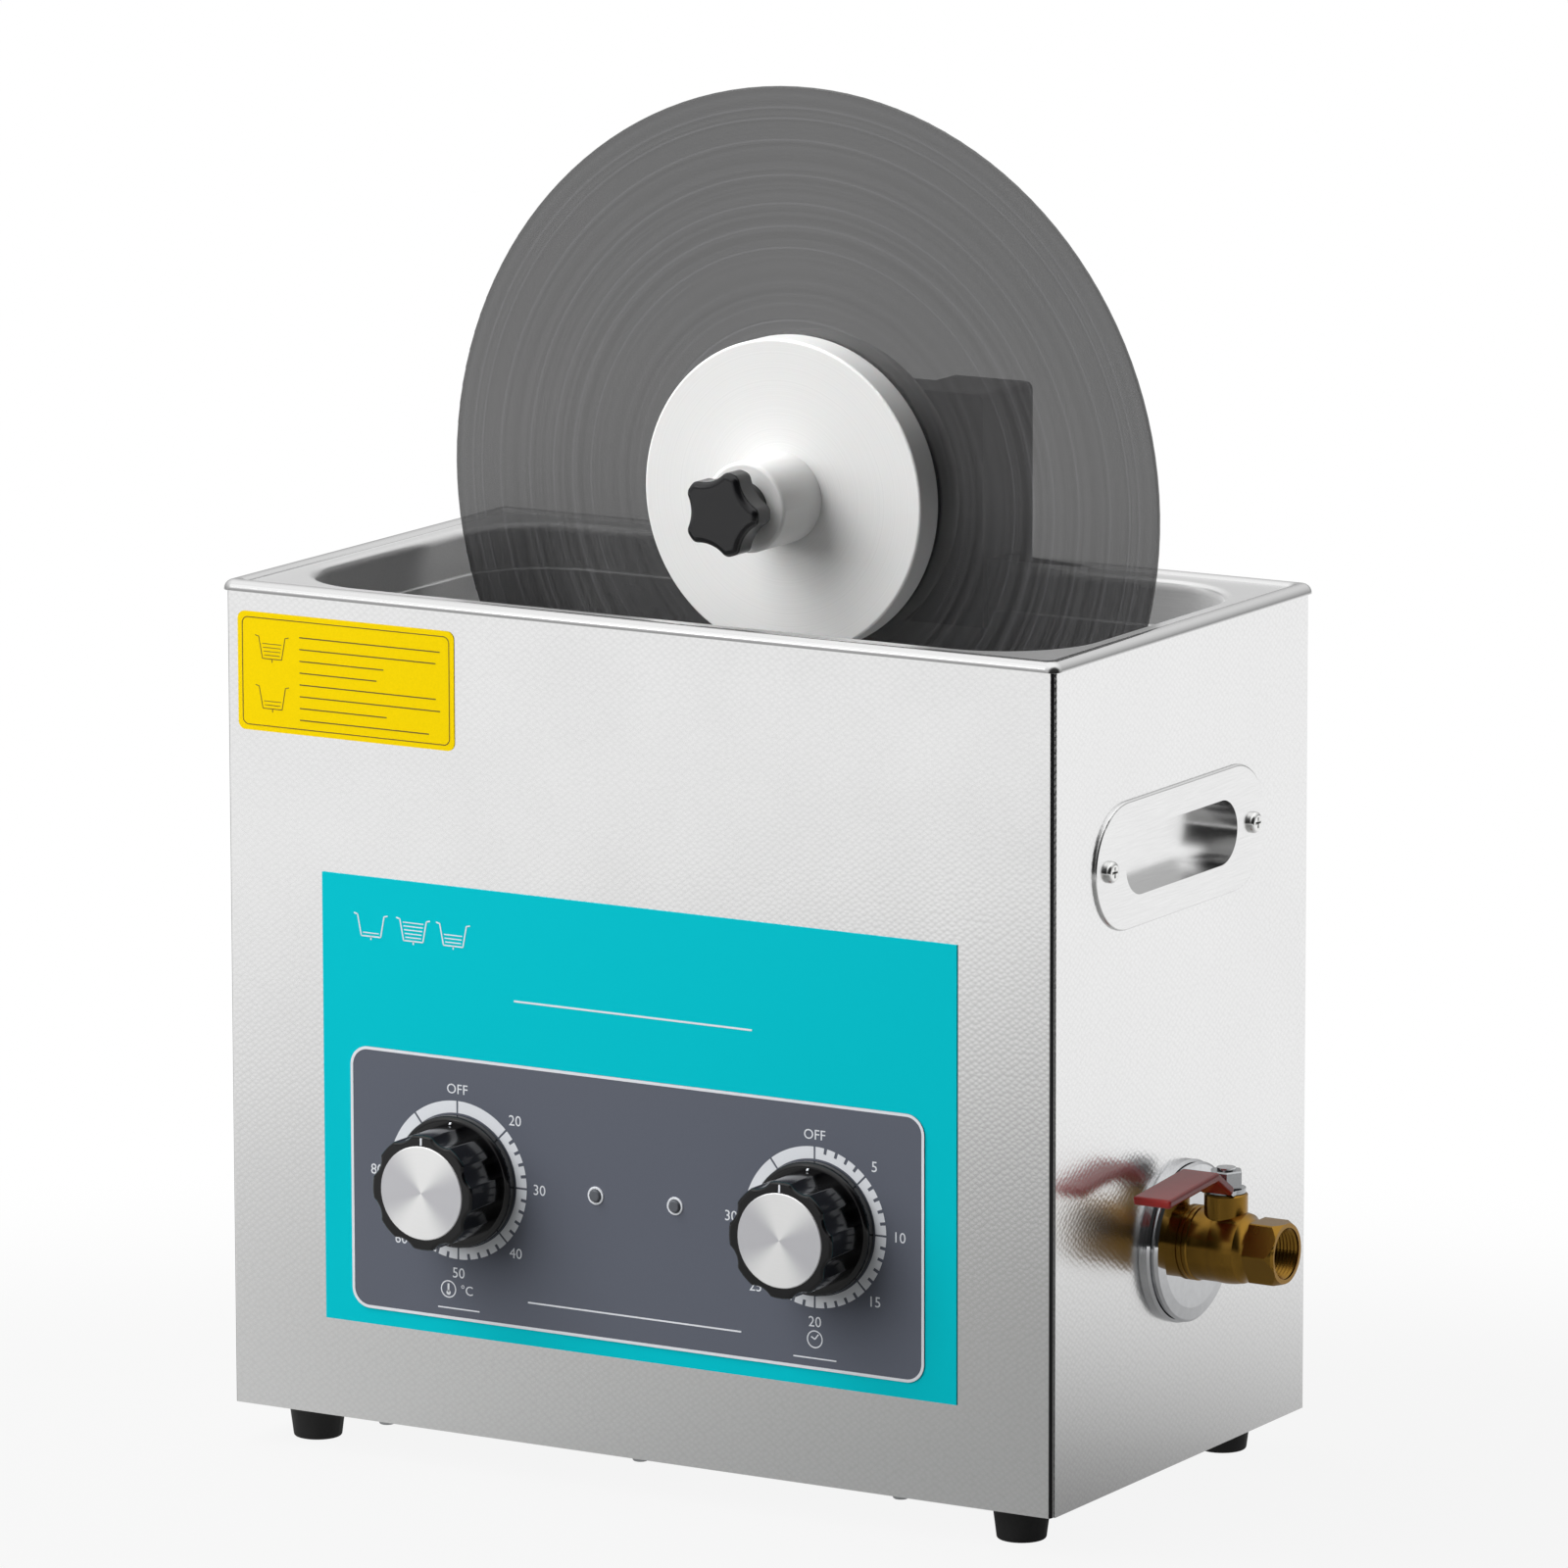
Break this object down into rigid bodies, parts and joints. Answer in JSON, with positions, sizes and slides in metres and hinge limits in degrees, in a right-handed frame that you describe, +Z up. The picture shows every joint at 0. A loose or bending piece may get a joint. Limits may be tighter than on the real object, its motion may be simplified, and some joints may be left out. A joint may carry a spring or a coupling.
{
  "type": "record cleaning machine",
  "caption": "Steel tank ultrasonic cleaner with a motor-driven holder that hooks on the rim and turns a record in the bath; dial controls, side drain valve and carrying handles.",
  "frame": {"origin": "on the surface that the feet stand on, under the middle of the case", "axes": "+X towards the drain valve, -Y towards the dials, +Z up"},
  "size_m": [0.3966, 0.2671, 0.5044],
  "materials": {
    "satin_steel": "linen-embossed stainless sheet",
    "plain_steel": "satin stainless",
    "zinc_steel": "zinc plated",
    "ground_steel": "ground and polished",
    "chrome": "polished chrome",
    "brass": "cast and turned",
    "spun_aluminium": "spun",
    "cast_aluminium": "turned",
    "black_anodised": "black anodised",
    "gloss_black": "gloss black",
    "matt_black": "matt black",
    "dark_housing": "moulded",
    "white_acetal": "turned white acetal",
    "smoky_vinyl": "grooved, translucent",
    "teal_film": "satin printed film",
    "grey_film": "satin printed film",
    "yellow_film": "gloss label",
    "lamp_lens": "clear grey lens",
    "red_vinyl": "dipped red vinyl",
    "black_rubber": "moulded rubber",
    "piezo_ceramic": "fired ceramic",
    "silicone_pad": "silicone",
    "circuit_board": "solder mask"
  },
  "bodies": {
    "cabinet": {"front_panel": "satin_steel", "rear_panel": "satin_steel", "left_side_panel": "satin_steel", "right_side_panel": "satin_steel", "base_plate": "plain_steel", "base_screws": "zinc_steel", "feet": "black_rubber", "foot_screws": "zinc_steel", "tank": "plain_steel", "control_overlay": "teal_film", "dial_plate": "grey_film", "fill_label": "yellow_film", "thermostat": "dark_housing", "timer_movement": "zinc_steel", "indicator_lamps": "lamp_lens", "left_handle": "plain_steel", "right_handle": "plain_steel", "handle_screws": "zinc_steel", "drain_pipe": "plain_steel", "escutcheon": "chrome", "valve_body": "brass", "transducer_horns": "cast_aluminium", "piezo_rings": "piezo_ceramic", "back_masses": "zinc_steel", "heater_pads": "silicone_pad", "generator_board": "circuit_board", "board_components": "dark_housing", "heat_sink": "cast_aluminium", "fan_frame": "matt_black", "power_inlet": "matt_black", "rear_screws": "zinc_steel"},
    "record_holder": {"holder_bracket": "black_anodised", "bracket_screws": "matt_black", "spindle_bush": "brass", "drive_box": "matt_black", "drive_cover": "matt_black", "cover_screws": "zinc_steel", "motor_plate": "plain_steel", "drive_motor": "zinc_steel", "lead_grommet": "black_rubber", "motor_lead": "black_rubber", "lead_socket": "matt_black"},
    "turning_spindle": {"spindle": "ground_steel", "spindle_gear": "white_acetal", "rear_clamp_disc": "white_acetal", "record": "smoky_vinyl"},
    "pinion": {"motor_pinion": "brass"},
    "front_clamp": {"front_clamp_disc": "white_acetal"},
    "clamp_knob": {"star_knob": "gloss_black"},
    "heater_dial": {"heater_knob": "gloss_black", "heater_knob_cap": "spun_aluminium", "heater_shaft": "ground_steel"},
    "timer_dial": {"timer_knob": "gloss_black", "timer_knob_cap": "spun_aluminium", "timer_shaft": "ground_steel"},
    "drain_lever": {"valve_ball": "chrome", "valve_lever": "zinc_steel", "lever_sleeve": "red_vinyl", "lever_nut": "zinc_steel"},
    "fan": {"fan_rotor": "matt_black"}
  },
  "joints": [
    {"name": "holder_lift", "type": "slide", "parent": "cabinet", "child": "record_holder", "axis": [0, 0, 1], "range_m": [0, 0.15]},
    {"name": "spindle_spin", "type": "hinge", "parent": "record_holder", "child": "turning_spindle", "pos_m": [-0.005, 0.034, 0.3536], "axis": [0, 1, 0], "continuous": true},
    {"name": "pinion_spin", "type": "hinge", "parent": "record_holder", "child": "pinion", "pos_m": [-0.005, 0.1148, 0.3296], "axis": [0, 1, 0], "continuous": true},
    {"name": "clamp_slide", "type": "slide", "parent": "turning_spindle", "child": "front_clamp", "axis": [0, -1, 0], "range_m": [0, 0.004]},
    {"name": "knob_turn", "type": "hinge", "parent": "front_clamp", "child": "clamp_knob", "pos_m": [-0.005, -0.008, 0.3536], "axis": [0, -1, 0], "range_deg": [0, 1440]},
    {"name": "heater_turn", "type": "hinge", "parent": "cabinet", "child": "heater_dial", "pos_m": [-0.0748, -0.0965, 0.1104], "axis": [0, 1, 0], "range_deg": [0, 270]},
    {"name": "timer_turn", "type": "hinge", "parent": "cabinet", "child": "timer_dial", "pos_m": [0.0772, -0.0965, 0.1104], "axis": [0, 1, 0], "range_deg": [0, 270]},
    {"name": "drain_turn", "type": "hinge", "parent": "cabinet", "child": "drain_lever", "pos_m": [0.193, 0, 0.0974], "axis": [0, 0, 1], "range_deg": [0, 90]},
    {"name": "fan_spin", "type": "hinge", "parent": "cabinet", "child": "fan", "pos_m": [-0.09, 0.083, 0.0704], "axis": [0, 1, 0], "continuous": true}
  ],
  "couplings": [
    {"joint": "pinion_spin", "follows": "spindle_spin", "ratio": -2.75},
    {"joint": "knob_turn", "follows": "clamp_slide", "rad_per_m": 6283.2}
  ]
}
